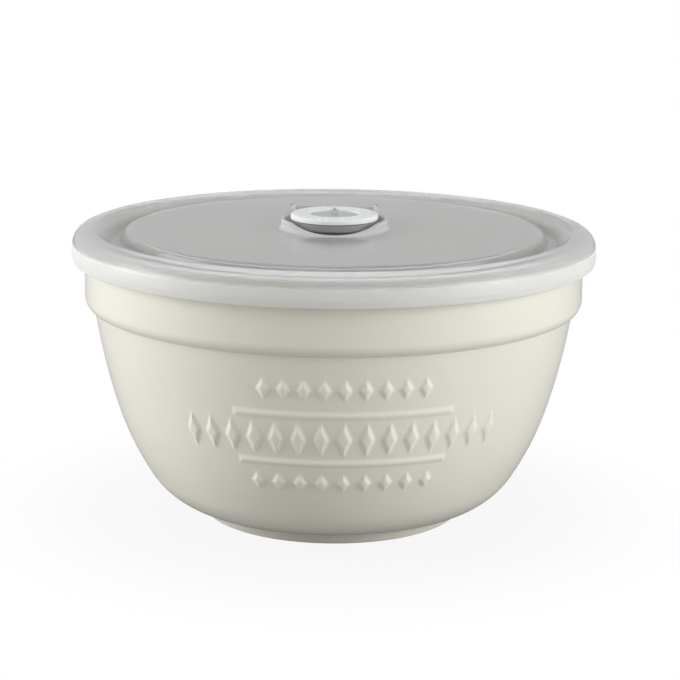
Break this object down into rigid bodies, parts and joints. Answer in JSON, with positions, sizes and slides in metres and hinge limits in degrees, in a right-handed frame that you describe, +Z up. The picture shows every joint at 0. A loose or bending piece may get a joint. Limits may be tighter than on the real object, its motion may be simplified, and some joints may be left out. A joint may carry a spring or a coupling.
{
  "type": "pudding basin with vented lid",
  "caption": "Round glazed ceramic pudding basin with a collar and a foot ring, closed by a translucent push-on lid with a hinged flip-up steam vent.",
  "frame": {"origin": "middle of the foot ring, on the surface the basin stands on", "axes": "+Z up through the basin's axis; -Y is the front, where the raised pattern and the low side of the vent well are; +X is to the right seen from the front"},
  "size_m": [0.1732, 0.1732, 0.1017],
  "materials": {
    "glaze": "glossy cream glaze",
    "lid_plastic": "translucent, satin",
    "cap_plastic": "satin white",
    "plug_silicone": "soft, matt"
  },
  "bodies": {
    "basin": {"basin": "glaze"},
    "lid": {"lid": "lid_plastic"},
    "vent": {"vent_cap": "cap_plastic", "vent_plug": "plug_silicone"}
  },
  "joints": [
    {"name": "lid_lift", "type": "slide", "parent": "basin", "child": "lid", "axis": [0, 0, 1], "range_m": [0, 0.05]},
    {"name": "vent_flip", "type": "hinge", "parent": "lid", "child": "vent", "pos_m": [0, 0.0135, 0.0982], "axis": [-1, 0, 0], "range_deg": [0, 100]}
  ]
}
